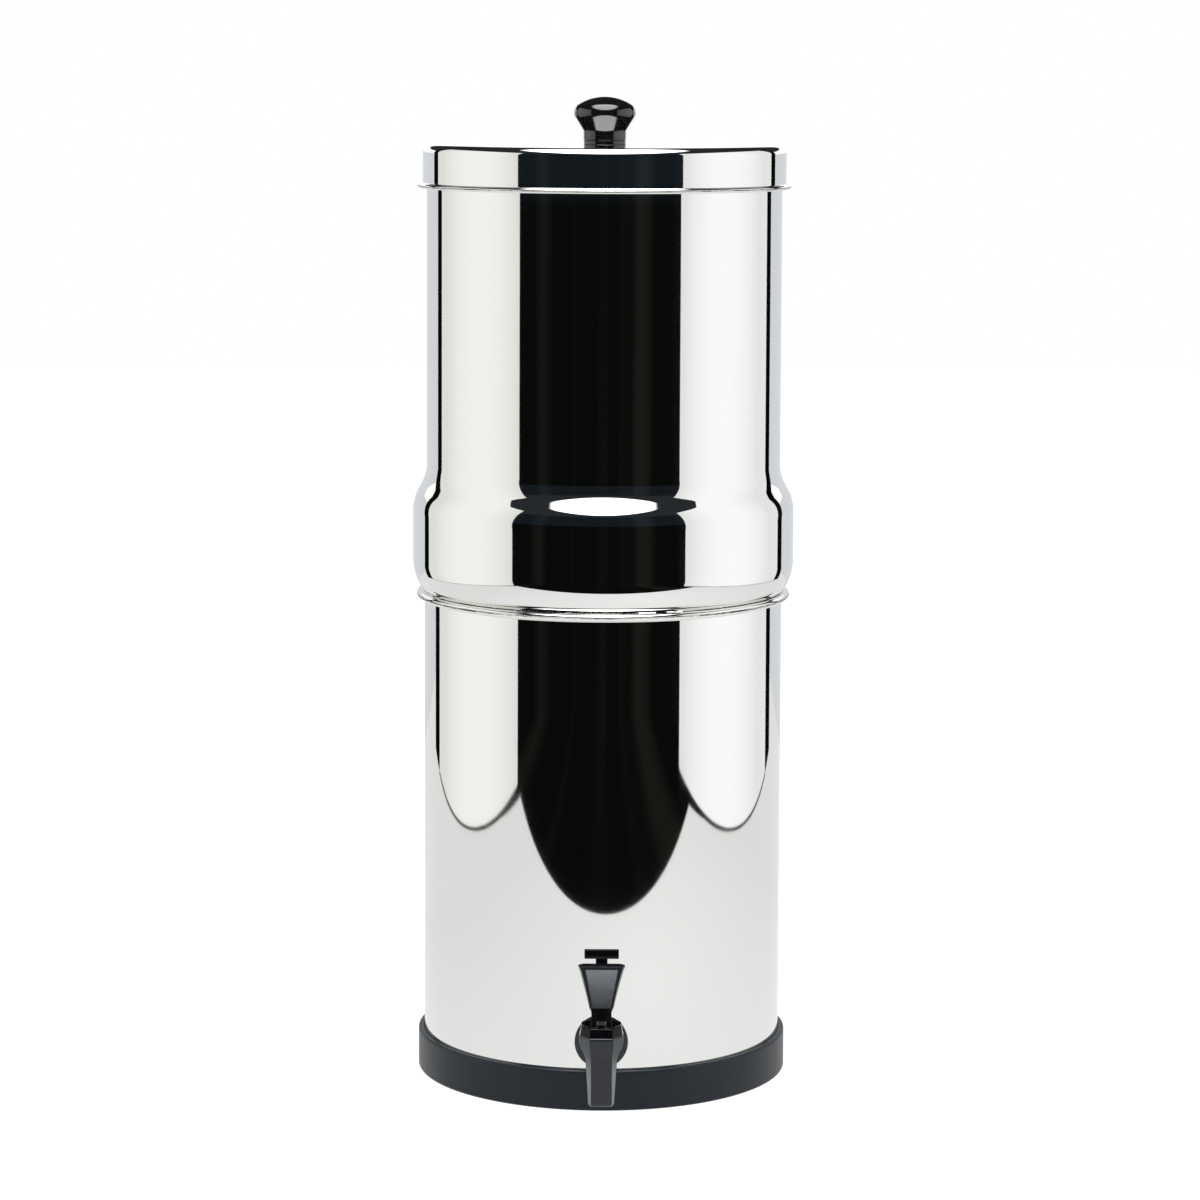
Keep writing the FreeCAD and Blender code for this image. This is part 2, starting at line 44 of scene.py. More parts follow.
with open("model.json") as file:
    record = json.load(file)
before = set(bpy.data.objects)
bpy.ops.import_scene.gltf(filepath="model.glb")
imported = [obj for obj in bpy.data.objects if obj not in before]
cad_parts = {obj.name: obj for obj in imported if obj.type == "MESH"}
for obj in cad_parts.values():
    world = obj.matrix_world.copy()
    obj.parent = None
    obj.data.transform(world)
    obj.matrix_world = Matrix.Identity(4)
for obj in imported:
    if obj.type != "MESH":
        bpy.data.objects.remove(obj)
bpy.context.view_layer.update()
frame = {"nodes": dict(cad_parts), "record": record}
MM = 0.001
ROLL_GAP = 0.1 * MM  # between a rolled rim and the wall beside it
SEAT_GAP = 0.3 * MM  # under the upper chamber's belly, where it rests on the rim
NEST_GAP = 0.6 * MM  # round the part of the upper chamber that nests in the lower one
STEM_RISE = 4.0  # millimetres that the lever lifts the stem
LEVER_SWING = math.radians(45)


def hex_to_linear(text):
    """An sRGB hex colour as linear red, green and blue."""
    values = [int(text[i:i + 2], 16) / 255 for i in (1, 3, 5)]
    return tuple(v / 12.92 if v <= 0.04045 else ((v + 0.055) / 1.055) ** 2.4 for v in values)


def colour(name, description, text):
    return FloatVectorProperty(name=name, description=description, subtype="COLOR", size=3, min=0, max=1,
                               default=hex_to_linear(text))


def length(name, description, millimetres):
    return FloatProperty(name=name, description=description, default=millimetres * MM, min=0, unit="LENGTH",
                         precision=5)


class FilterColours(bpy.types.PropertyGroup):
    """Colours of the filter's finishes, and of the painted shade and highlights on the tap"""
    steel: colour("Polished steel", "Reflected tint of the mirror-polished sheet", "#ebebe8")
    ring: colour("Base ring", "Moulded ring under the lower chamber", "#141b21")
    tap: colour("Tap", "Moulded nylon of the tap", "#0c1218")
    # Painted shade: a darker copy of the tap's nylon, for the barrel's top slope, the bonnet and the lever's
    # cheeks, web, frame and tab.
    tap_painted_shade: colour("Dark tap", "Polished nylon of the tap's top, neck and tab", "#060708")
    # Painted highlights on the chamfered edges: paler at the spout and along the lever, dimmer up the barrel.
    pale_rim_highlight: colour("Spout edge", "Rubbed edges of the spout", "#646a6e")
    dim_rim_highlight: colour("Barrel edge", "Rubbed facets of the barrel", "#33383d")
    # Painted light on the lever's sunk panel: shade at its foot, a highlight at its top.
    panel_painted_shade: colour("Panel foot", "Satin panel in the lever, at its foot", "#24282c")
    panel_painted_highlight: colour("Panel top", "Satin panel in the lever, at its top", "#6a7075")
    knob: colour("Knob", "Glossy turned knob on the lid", "#0b0b0c")
    carbon: colour("Filter element", "Pressed carbon block", "#1c1c1d")
    cap: colour("Element base", "Cap that carries an element", "#2c2c2e")
    nylon: colour("Wing nut", "White nylon nuts", "#dcdbd6")
    rubber: colour("Rubber", "Gaskets, washers and plugs", "#1b1b1c")
    silicone: colour("Silicone", "Seat cup of the valve", "#cfcabf")
    wire: colour("Plain steel", "Spring, pin, stem, screw and washer", "#b4b4b2")
    floor: colour("Floor", "Pale sweep under the filter", "#f6f6f4")


class FilterSizes(bpy.types.PropertyGroup):
    """Sizes of the filter's visible details"""
    turn_steps: IntProperty(name="Steps per turn", description="Faces round a turned piece", default=192,
                            min=48)
    sheet: length("Sheet", "Thickness of the pressed steel", 0.8)
    rim_roll: length("Rim roll", "Radius of the lower chamber's rolled rim", 2.5)
    lid_roll: length("Lid roll", "Radius of the lid's rolled edge", 1.6)
    lid_corner: length("Lid corner", "Radius of the lid's top edge", 5.0)
    pot_corner: length("Pot corner", "Radius of the lower chamber's bottom edge", 5.0)
    belly_arc: length("Belly arc", "Radius that turns the belly in over the rim", 32.0)
    shoulder_arc: length("Shoulder arc", "Radius at both ends of the shoulder's cone", 28.0)
    shoulder_lean: FloatProperty(name="Shoulder lean", description="Inward lean of the shoulder's cone",
                                 default=math.radians(28.5), subtype="ANGLE")
    belly_low: length("Belly foot", "Height where the belly starts to turn in", 348.0)
    belly_high: length("Belly top", "Height where the shoulder starts", 382.0)
    wall_radius: length("Upper wall", "Outer radius of the upper chamber's wall", 119.45)
    ring_edge: length("Ring edge", "Rounding of the base ring's edges", 1.6)
    knob_neck: length("Knob neck", "Radius of the knob's neck", 14.3)
    knob_neck_height: length("Knob neck height", "From the lid up to the knob's cone", 9.3)
    knob_belt: length("Knob belt", "From the lid up to the knob's widest line", 21.5)
    knob_crown: length("Knob crown", "Radius of the knob's domed top", 33.4)
    tap_edge: length("Tap edge", "Rounding of the tap's edges", 0.4)
    pin_height: length("Pin height", "Height of the lever's pin", 67.0)
    barrel: length("Barrel", "Half the width of the tap's barrel", 14.3)
    spout: length("Spout", "Half the width of the tap's spout", 8.4)
    flange: length("Flange", "Radius of the tap's flange", 17.5)
    shank_height: length("Shank height", "Height of the tap's shank", 46.4)


# Making meshes


def new_piece(name, bm, body, material, replaced):
    """Turns a bmesh into a piece that rides on a body and stands for its CAD nodes."""
    mesh = bpy.data.meshes.new(name)
    bm.to_mesh(mesh)
    bm.free()
    for face in mesh.polygons:
        face.use_smooth = True
    piece = bpy.data.objects.new(name, mesh)
    bpy.context.scene.collection.objects.link(piece)
    mesh.materials.append(material)
    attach(piece, body)
    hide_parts(*replaced)
    return piece


def fillet(before, corner, after, radius, steps):
    """Points of the arc that rounds a corner, with one point just outside each end to hold the shading."""
    a, b = (before - corner).normalized(), (after - corner).normalized()
    half = a.angle(b) / 2
    if radius <= 0 or half > math.radians(89.5):
        return [corner]
    reach = radius / math.tan(half)
    centre = corner + (a + b).normalized() * radius / math.sin(half)
    start, end = corner + a * reach, corner + b * reach
    u, v = start - centre, end - centre
    turn = u.angle(v)
    points = []
    for k in range(steps + 1):
        t = k / steps
        points.append(centre + (u * math.sin((1 - t) * turn) + v * math.sin(t * turn)) / math.sin(turn))
    hold = min(radius * 0.25, 0.6 * MM)
    return [start + a * hold] + points + [end + b * hold]


def rounded(corners):
    """Closed outline through (radius, height, rounding) corners, in metres, in the XZ plane."""
    places = [Vector((r, 0, z)) for r, z, _ in corners]
    outline = []
    for k, (_, _, radius) in enumerate(corners):
        steps = max(4, min(16, int(radius / MM * 1.5) + 4))
        outline += fillet(places[k - 1], places[k], places[(k + 1) % len(places)], radius, steps)
    return outline


def arc(centre_r, centre_z, radius, start, end, steps):
    """Sharp outline corners along an arc, from start to end degrees."""
    turns = [math.radians(start + (end - start) * k / steps) for k in range(steps + 1)]
    return [(centre_r + radius * math.cos(a), centre_z + radius * math.sin(a), 0) for a in turns]


def ring_of(bm, points):
    """A closed loop of edges through points."""
    verts = [bm.verts.new(p) for p in points]
    return [bm.edges.new(pair) for pair in zip(verts, verts[1:] + verts[:1])]


def turned(corners, centre=(0, 0, 0), axis=(0, 0, 1), steps=None):
    """A bmesh turned about an axis from an outline of rounded corners."""
    steps = steps or bpy.context.scene.filter_sizes.turn_steps
    bm = bmesh.new()
    edges = ring_of(bm, rounded(corners))
    bmesh.ops.spin(bm, geom=bm.verts[:] + edges, cent=(0, 0, 0), axis=(0, 0, 1), angle=math.tau, steps=steps,
                   use_merge=True, use_duplicate=False)
    bmesh.ops.remove_doubles(bm, verts=bm.verts, dist=1e-6)
    bmesh.ops.recalc_face_normals(bm, faces=bm.faces)
    turn = Vector((0, 0, 1)).rotation_difference(Vector(axis)).to_matrix().to_4x4()
    bmesh.ops.transform(bm, matrix=Matrix.Translation(centre) @ turn, verts=bm.verts)
    return bm


def lofted(sections, bevel=0.0):
    """A closed bmesh bridged through like sections, with its sharp edges bevelled."""
    bm = bmesh.new()
    loops = [ring_of(bm, s) for s in sections]
    for low, high in zip(loops, loops[1:]):
        bmesh.ops.bridge_loops(bm, edges=low + high)
    bmesh.ops.contextual_create(bm, geom=loops[0])
    bmesh.ops.contextual_create(bm, geom=loops[-1])
    bmesh.ops.recalc_face_normals(bm, faces=bm.faces)
    if bevel:
        round_edges(bm, bevel)
    return bm


def merged(*parts):
    """One bmesh from several closed ones."""
    whole = bmesh.new()
    for part in parts:
        mesh = bpy.data.meshes.new("part")
        part.to_mesh(mesh)
        part.free()
        whole.from_mesh(mesh)
        bpy.data.meshes.remove(mesh)
    return whole


def round_edges(bm, width, sharp=20.0):
    """Bevels every edge sharper than an angle."""
    limit = math.radians(sharp)
    edges = [e for e in bm.edges if len(e.link_faces) == 2 and e.calc_face_angle() > limit]
    bmesh.ops.bevel(bm, geom=edges, offset=width, offset_type="OFFSET", segments=3, profile=0.5,
                    affect="EDGES", clamp_overlap=True, material=-1)


def shade_by_angle(piece, degrees=35.0):
    """Smooth faces with sharp edges kept where the faces meet at more than an angle."""
    bm = bmesh.new()
    bm.from_mesh(piece.data)
    for edge in bm.edges:
        edge.smooth = len(edge.link_faces) == 2 and edge.calc_face_angle() < math.radians(degrees)
    bm.to_mesh(piece.data)
    bm.free()


def keep_unmirrored(piece):
    """Leaves a piece out of the polished steel, which shows no image of the tap."""
    piece.visible_glossy = False


# Materials


def add(tree, kind, links=None, **settings):
    """Adds a node with its settings, and sets or links its inputs."""
    node = tree.nodes.new(kind)
    for key, value in settings.items():
        setattr(node, key, value)
    for key, value in (links or {}).items():
        if isinstance(value, bpy.types.NodeSocket):
            tree.links.new(value, node.inputs[key])
        else:
            node.inputs[key].default_value = value
    return node


def empty_material(name):
    """A new node material without nodes, and its tree."""
    material = bpy.data.materials.new(name)
    material.use_nodes = True
    material.node_tree.nodes.clear()
    return material, material.node_tree


def start_material(name):
    """A new node material, with its tree, shader and object coordinates in millimetres."""
    material, tree = empty_material(name)
    shader = add(tree, "ShaderNodeBsdfPrincipled")
    add(tree, "ShaderNodeOutputMaterial", {"Surface": shader.outputs[0]})
    place = add(tree, "ShaderNodeTexCoord")
    scale = add(tree, "ShaderNodeMapping", {"Vector": place.outputs["Object"], "Scale": (1000, 1000, 1000)})
    return material, tree, shader, scale.outputs[0]


def noise(tree, where, size_mm, detail=3.0, roughness=0.55):
    """Noise whose lumps are about size_mm across."""
    return add(tree, "ShaderNodeTexNoise", {"Vector": where, "Scale": 1 / size_mm, "Detail": detail,
                                            "Roughness": roughness}).outputs[0]


def spread(tree, value, low, high, from_low=0.3, from_high=0.7):
    """Maps a value's range onto another one."""
    return add(tree, "ShaderNodeMapRange", {0: value, 1: from_low, 2: from_high, 3: low, 4: high}).outputs[0]


def tinted(tree, factor, dark, light):
    """A colour between two, by a factor."""
    mix = add(tree, "ShaderNodeMix", {0: factor, 6: (*dark, 1), 7: (*light, 1)}, data_type="RGBA")
    return mix.outputs[2]


def shade_of(rgb, share):
    """A colour made darker or lighter by a share."""
    return tuple(min(1.0, c * share) for c in rgb)


def bump(tree, height, strength, distance_mm):
    """A normal that follows a height of some millimetres."""
    return add(tree, "ShaderNodeBump", {"Height": height, "Strength": strength,
                                        "Distance": distance_mm * MM}).outputs[0]


def polished_steel():
    """Mirror-polished 304 stainless sheet: clear reflections, very faint buffing haze and pressing ripples."""
    tint = bpy.context.scene.filter_colours.steel
    material, tree, shader, where = start_material("mirror_polished_stainless")
    # Buffing leaves hair lines round the pot, some 0.4 mm high and long along the turn.
    lines = add(tree, "ShaderNodeMapping", {"Vector": where, "Scale": (0.05, 0.05, 2.2)}).outputs[0]
    hair = noise(tree, lines, 1.0, detail=2.0)
    haze = noise(tree, where, 55.0)
    roughness = add(tree, "ShaderNodeMath", {0: spread(tree, haze, 0.018, 0.034),
                                             1: spread(tree, hair, 0.0, 0.010)}, operation="ADD").outputs[0]
    colour_noise = tinted(tree, haze, shade_of(tint, 0.985), tint)
    tree.links.new(colour_noise, shader.inputs["Base Color"])
    tree.links.new(roughness, shader.inputs["Roughness"])
    # Spinning and pressing leave ripples about 60 mm long and a few microns deep.
    ripple = noise(tree, where, 62.0, detail=0.0)
    tree.links.new(bump(tree, ripple, 0.10, 0.35), shader.inputs["Normal"])
    shader.inputs["Metallic"].default_value = 1.0
    return material


def moulded(name, rgb, roughness, grain_mm, grain_depth, coat=0.0, ior=1.5, gloss=0.5):
    """Black thermoplastic from a polished or spark-eroded mould: even colour, fine grain, a soft highlight."""
    material, tree, shader, where = start_material(name)
    cloud = noise(tree, where, 18.0)
    grain = noise(tree, where, grain_mm, detail=4.0, roughness=0.6)
    tree.links.new(tinted(tree, cloud, shade_of(rgb, 0.88), shade_of(rgb, 1.10)), shader.inputs["Base Color"])
    tree.links.new(spread(tree, grain, roughness * 0.85, roughness * 1.15), shader.inputs["Roughness"])
    tree.links.new(bump(tree, grain, 0.25, grain_depth), shader.inputs["Normal"])
    shader.inputs["IOR"].default_value = ior
    shader.inputs["Specular IOR Level"].default_value = gloss
    shader.inputs["Coat Weight"].default_value = coat
    shader.inputs["Coat Roughness"].default_value = 0.05
    return material


def carbon_block():
    """Pressed activated carbon: matt near-black with a grit of about 0.8 mm and small pores."""
    rgb = bpy.context.scene.filter_colours.carbon
    material, tree, shader, where = start_material("pressed_carbon_block")
    grit = add(tree, "ShaderNodeTexVoronoi", {"Vector": where, "Scale": 1 / 0.8}).outputs["Distance"]
    pores = noise(tree, where, 2.4, detail=5.0)
    tree.links.new(tinted(tree, pores, shade_of(rgb, 0.6), shade_of(rgb, 1.5)), shader.inputs["Base Color"])
    tree.links.new(spread(tree, grit, 0.72, 0.95, 0.0, 0.8), shader.inputs["Roughness"])
    tree.links.new(bump(tree, grit, 0.6, 0.25), shader.inputs["Normal"])
    return material


def soft_rubber(name, rgb, roughness):
    """Moulded rubber or silicone: matt skin with faint dust and flow marks."""
    material, tree, shader, where = start_material(name)
    dust = noise(tree, where, 3.0, detail=5.0)
    flow = noise(tree, where, 12.0)
    tree.links.new(tinted(tree, dust, shade_of(rgb, 0.9), shade_of(rgb, 1.2)), shader.inputs["Base Color"])
    tree.links.new(spread(tree, flow, roughness * 0.9, roughness * 1.1), shader.inputs["Roughness"])
    tree.links.new(bump(tree, dust, 0.15, 0.05), shader.inputs["Normal"])
    shader.inputs["IOR"].default_value = 1.45
    return material


def drawn_steel():
    """Drawn or turned stainless: satin metal with fine die lines 0.3 mm apart."""
    rgb = bpy.context.scene.filter_colours.wire
    material, tree, shader, where = start_material("drawn_stainless")
    lines = add(tree, "ShaderNodeMapping", {"Vector": where, "Scale": (3.0, 3.0, 0.3)}).outputs[0]
    die = noise(tree, lines, 1.0)
    tree.links.new(tinted(tree, die, shade_of(rgb, 0.85), rgb), shader.inputs["Base Color"])
    tree.links.new(spread(tree, die, 0.18, 0.34), shader.inputs["Roughness"])
    tree.links.new(bump(tree, die, 0.1, 0.02), shader.inputs["Normal"])
    shader.inputs["Metallic"].default_value = 1.0
    return material


def nylon_with_painted_light(name, low, high, foot, top):
    """Nylon with painted light: its colour is graded from its foot up to its top as painted highlight and
    shade, with faint random blotches.
    """
    material, tree, shader, where = start_material(name)
    height = add(tree, "ShaderNodeSeparateXYZ", {0: where}).outputs["Z"]
    # Painted light: the tone is set by height, as light and shade fall on the piece, not by the nylon.
    share = add(tree, "ShaderNodeMath", {0: spread(tree, height, 0, 1, low / MM, high / MM), 1: 1.6},
                operation="POWER").outputs[0]
    cloud = noise(tree, where, 5.0, detail=4.0)
    painted_light_and_blotch = add(tree, "ShaderNodeMath", {0: share, 1: spread(tree, cloud, -0.07, 0.07)},
                 operation="ADD").outputs[0]
    tree.links.new(tinted(tree, painted_light_and_blotch, foot, top), shader.inputs["Base Color"])
    grain = noise(tree, where, 0.35, detail=2.0)
    tree.links.new(spread(tree, grain, 0.38, 0.55), shader.inputs["Roughness"])
    tree.links.new(bump(tree, grain, 0.3, 0.02), shader.inputs["Normal"])
    return material


FINISHES = {}


def finish_for(key):
    """The finish of that name, made once."""
    if key in FINISHES:
        return FINISHES[key]
    c, s = bpy.context.scene.filter_colours, bpy.context.scene.filter_sizes
    makers = {
        "polished_steel": polished_steel,
        "ring_rubber": lambda: moulded("satin_polypropylene_ring", c.ring, 0.38, 0.7, 0.02, gloss=0.25),
        "tap_plastic": lambda: moulded("moulded_nylon_tap", c.tap, 0.20, 0.6, 0.008),
        # Painted shade: the tap's nylon made darker, for parts that face the dark room.
        "tap_painted_shade": lambda: moulded("tap_nylon_painted_shade", c.tap_painted_shade, 0.16, 0.6, 0.006, gloss=0.2),
        # Painted highlight that grows up the lever's sunk panel.
        "lever_panel_painted_light": lambda: nylon_with_painted_light("panel_nylon_painted_highlight", s.pin_height + 8 * MM, s.pin_height + 36 * MM,
                                         c.panel_painted_shade, c.panel_painted_highlight),
        # Painted highlights on the chamfers: graded from pale at the spout to dim up the barrel, and even along
        # the lever's edges.
        "tap_edge": lambda: nylon_with_painted_light("nylon_rims_painted_highlight", 30 * MM, 46 * MM, c.pale_rim_highlight, c.dim_rim_highlight),
        "lever_rim_highlight": lambda: nylon_with_painted_light("lever_rims_painted_highlight", s.pin_height, s.pin_height + 36 * MM,
                                          c.pale_rim_highlight, c.pale_rim_highlight),
        "knob_plastic": lambda: moulded("glossy_phenolic_knob", c.knob, 0.07, 6.0, 0.0004, coat=0.4, ior=1.55),
        "base_plastic": lambda: moulded("moulded_polypropylene_cap", c.cap, 0.38, 0.7, 0.02),
        "nut_plastic": lambda: moulded("white_nylon_nut", c.nylon, 0.40, 0.7, 0.02),
        "carbon": carbon_block,
        "seal_rubber": lambda: soft_rubber("moulded_rubber_seal", c.rubber, 0.65),
        "silicone": lambda: soft_rubber("moulded_silicone_cup", c.silicone, 0.5),
        "steel_wire": drawn_steel,
    }
    FINISHES[key] = makers[key]()
    return FINISHES[key]


def dress_node(name, key):
    """Gives one of the construction's own pieces its finish."""
    node = frame["nodes"][name]
    for slot in node.material_slots:
        slot.material = finish_for(key)
    if not node.material_slots:
        node.data.materials.append(finish_for(key))


# Pieces


def lower_wall():
    """Outer radius of the lower chamber's wall, inside its rolled rim."""
    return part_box("lower_chamber")[1][0] - 2 * bpy.context.scene.filter_sizes.rim_roll - ROLL_GAP


class FILTER_OT_lower_chamber(bpy.types.Operator):
    """Turn the lower chamber with its rolled rim"""
    bl_idname = "water_filter.lower_chamber"
    bl_label = "Lower Chamber"

    def execute(self, context):
        s = context.scene.filter_sizes
        (_, _, low), (reach, _, high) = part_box("lower_chamber")
        wall = lower_wall()
        inside = wall - s.sheet
        rim_foot = high - 2 * s.rim_roll
        roll = s.rim_roll * 0.98
        bm = turned([
            (0, low, 0), (wall, low, s.pot_corner), (wall, rim_foot, 0.8 * MM), (reach, rim_foot, roll),
            (reach, high, roll), (inside, high, 0.7 * MM),
            (inside, low + s.sheet, s.pot_corner - s.sheet), (0, low + s.sheet, 0),
        ])
        new_piece("lower_chamber_shell", bm, "root", finish_for("polished_steel"),
                  ["lower_chamber"])
        return {"FINISHED"}


class FILTER_OT_upper_chamber(bpy.types.Operator):
    """Turn the upper chamber with its shoulder, belly and nesting step"""
    bl_idname = "water_filter.upper_chamber"
    bl_label = "Upper Chamber"

    def execute(self, context):
        s = context.scene.filter_sizes
        (_, _, low), (belly, _, high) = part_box("upper_chamber")
        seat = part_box("lower_chamber")[1][2] + SEAT_GAP
        wall = s.wall_radius
        lean = s.shoulder_lean
        cone_step = belly - wall - 2 * s.shoulder_arc * (1 - math.cos(lean))
        neck_z = s.belly_high + 2 * s.shoulder_arc * math.sin(lean) + cone_step / math.tan(lean)
        belly_corner = s.belly_high + s.shoulder_arc * math.tan(lean / 2)
        neck_corner = neck_z - s.shoulder_arc * math.tan(lean / 2)
        under = math.asin((s.belly_low - seat) / s.belly_arc)
        under_corner = s.belly_low - s.belly_arc * math.tan(under / 2)
        foot = belly - s.belly_arc * (1 - math.cos(under))
        step = lower_wall() - s.sheet - NEST_GAP
        t = s.sheet
        bead_foot, bead_z, bead_top = high - 4 * MM, high - 2.6 * MM, high - 0.8 * MM
        bead = wall + 1.45 * MM
        bm = turned([
            (0, low, 0), (step, low, 3 * MM), (step, seat, 0.3 * MM), (foot, seat, 0.5 * MM),
            (belly, under_corner, s.belly_arc * 0.999), (belly, belly_corner, s.shoulder_arc),
            (wall, neck_corner, s.shoulder_arc), (wall, bead_foot, 0.6 * MM), (bead, bead_z, 0.7 * MM),
            (wall, bead_top, 0.2 * MM), (wall - t, high, 0.2 * MM), (wall - t, neck_corner, s.shoulder_arc),
            (belly - t, belly_corner, s.shoulder_arc), (belly - t, under_corner, s.belly_arc * 0.9),
            (foot - t, seat + t, 0.5 * MM), (step - t, seat + t, 0.3 * MM), (step - t, low + t, 2.5 * MM),
            (0, low + t, 0),
        ])
        new_piece("upper_chamber_shell", bm, "upper_chamber", finish_for("polished_steel"),
                  ["upper_chamber"])
        return {"FINISHED"}


class FILTER_OT_lid(bpy.types.Operator):
    """Turn the lid with its rounded edge and rolled bead"""
    bl_idname = "water_filter.lid"
    bl_label = "Lid"

    def execute(self, context):
        s = context.scene.filter_sizes
        (_, _, low), (reach, _, high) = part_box("lid")
        skirt = reach - 2 * s.lid_roll
        inside = skirt - s.sheet
        roll = s.lid_roll * 0.98
        roll_top = low + 2 * s.lid_roll
        bm = turned([
            (0, high - s.sheet, 0), (inside, high - s.sheet, 3.5 * MM), (inside, low, 0.2 * MM),
            (reach, low, roll), (reach, roll_top, roll), (skirt, roll_top, 0.5 * MM),
            (skirt, high, s.lid_corner), (0, high, 0),
        ])
        new_piece("lid_shell", bm, "lid", finish_for("polished_steel"), ["lid"])
        return {"FINISHED"}


class FILTER_OT_knob(bpy.types.Operator):
    """Turn the glossy knob on the lid"""
    bl_idname = "water_filter.knob"
    bl_label = "Lid Knob"

    def execute(self, context):
        s = context.scene.filter_sizes
        (_, _, low), (reach, _, high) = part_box("lid_knob")
        neck, neck_z, belt_z = s.knob_neck, low + s.knob_neck_height, low + s.knob_belt
        crown_z = high - s.knob_crown
        climb = belt_z - crown_z
        belt = (s.knob_crown ** 2 - reach ** 2 - climb ** 2) / (2 * (s.knob_crown - reach))
        turn = math.degrees(math.atan2(climb, reach - belt))
        flare = math.radians(32)
        drop = belt_z - neck_z - (reach - neck) / math.tan(flare)
        under = drop / (math.sin(flare) - (1 - math.cos(flare)) / math.tan(flare))
        groove, groove_z = 0.4 * MM, low + 3 * MM
        bm = turned([
            (0, low, 0), (neck, low, 0.3 * MM), (neck, groove_z - groove, 0.1 * MM),
            (neck - groove, groove_z, 0.1 * MM), (neck, groove_z + groove, 0.1 * MM), (neck, neck_z, 2.5 * MM),
            *arc(reach - under, belt_z, under, -math.degrees(flare), 0, 12),
            *arc(reach - belt, belt_z, belt, 4, turn, 14),
            *arc(0, crown_z, s.knob_crown, turn + 2, 88, 14), (0, high, 0),
        ], steps=128)
        new_piece("lid_knob_turned", bm, "lid", finish_for("knob_plastic"), ["lid_knob"])
        return {"FINISHED"}


class FILTER_OT_base_ring(bpy.types.Operator):
    """Turn the moulded ring under the lower chamber"""
    bl_idname = "water_filter.base_ring"
    bl_label = "Base Ring"

    def execute(self, context):
        s = context.scene.filter_sizes
        (_, _, low), (reach, _, high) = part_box("base_ring")
        inside, ledge, ledge_z = 121.15 * MM, 108 * MM, 5 * MM
        bm = turned([
            (ledge, low, 0.5 * MM), (reach, low, s.ring_edge), (reach, high, s.ring_edge),
            (inside, high, 0.6 * MM), (inside, ledge_z, 0.5 * MM), (ledge, ledge_z, 0.5 * MM),
        ])
        new_piece("base_ring_moulding", bm, "root", finish_for("ring_rubber"), ["base_ring"])
        return {"FINISHED"}


def tap_section(half, chamfer, z, y):
    """Eight-sided section of the tap's barrel about its own axis."""
    flat = half - chamfer
    ring = ((half, -flat), (half, flat), (flat, half), (-flat, half),
            (-half, flat), (-half, -flat), (-flat, -half), (flat, -half))
    return [Vector((a, y + b, z)) for a, b in ring]


class FILTER_OT_tap_body(bpy.types.Operator):
    """Loft the tap's barrel and spout, and turn its flange and shank"""
    bl_idname = "water_filter.tap_body"
    bl_label = "Tap Body"

    def execute(self, context):
        s = context.scene.filter_sizes
        (_, front, low), (_, back, top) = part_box("tap_body")
        y = front + s.barrel
        washer, thick = 2 * MM, 4 * MM
        flange = turned([(0, 0, 0), (s.flange, 0, 0.4 * MM), (s.flange, thick, 1.5 * MM), (0, thick, 0)],
                        centre=(0, -lower_wall() - washer, s.shank_height), axis=(0, -1, 0), steps=96)
        reach, bore, end = 8 * MM, 5 * MM, back - y
        bore_end = end - 14 * MM
        shank = turned([(0, 0, 0), (reach, 0, 0.3 * MM), (reach, end, 0.6 * MM), (bore, end, 0.3 * MM),
                        (bore, bore_end, 0), (0, bore_end, 0)],
                       centre=(0, y, s.shank_height), axis=(0, 1, 0), steps=64)
        whole = merged(self.barrel(s, y, low, top), flange, shank)
        piece = new_piece("tap_body_moulding", whole, "root", finish_for("tap_plastic"),
                          ["tap_body"])
        # Slot 1 is the painted highlight on the front chamfers, slot 2 the painted shade on the top slope.
        for key in ("tap_edge", "tap_painted_shade"):
            piece.data.materials.append(finish_for(key))
        shade_by_angle(piece)
        keep_unmirrored(piece)
        return {"FINISHED"}

    def barrel(self, s, y, low, top):
        """Barrel that narrows to the spout, with painted shade on the slope round its top and painted
        highlights on the chamfers in front.
        """
        lip, spout_cut = 1.4 * MM, 1.6 * MM
        sections = [tap_section(s.spout - lip, spout_cut, low, y),
                    tap_section(s.spout, spout_cut, low + 1.7 * MM, y)]
        waist, waist_z, waist_cut = 10.2 * MM, top - 22 * MM, 3.4 * MM
        knee_z, barrel_cut = top - 9.5 * MM, 6.6 * MM
        for k in range(7):
            t = k / 6
            ease = t * t * (3 - 2 * t)
            half, cut = waist + (s.barrel - waist) * ease, waist_cut + (barrel_cut - waist_cut) * ease
            sections.append(tap_section(half, cut, waist_z + (knee_z - waist_z) * t, y))
        slope_z = top - 5.8 * MM
        sections += [tap_section(s.barrel, barrel_cut, slope_z - 0.8 * MM, y),
                     tap_section(s.barrel - 0.6 * MM, 6.4 * MM, slope_z, y),
                     tap_section(s.barrel - 1.4 * MM, 5.9 * MM, top, y)]
        bm = lofted(sections)
        # Painted shade on the slope round the top, painted highlights on the front chamfers.
        for face in bm.faces:
            if face.calc_center_median().z > slope_z:
                face.material_index = 2
            elif face.normal.y < -0.4 < -abs(face.normal.z) and abs(face.normal.x) > 0.4:
                face.material_index = 1
        mouth = [f for f in bm.faces if f.normal.z < -0.99]
        bmesh.ops.inset_individual(bm, faces=mouth, thickness=1.1 * MM)
        bmesh.ops.inset_individual(bm, faces=mouth, thickness=0.2 * MM, depth=-14 * MM)
        round_edges(bm, s.tap_edge)
        return bm


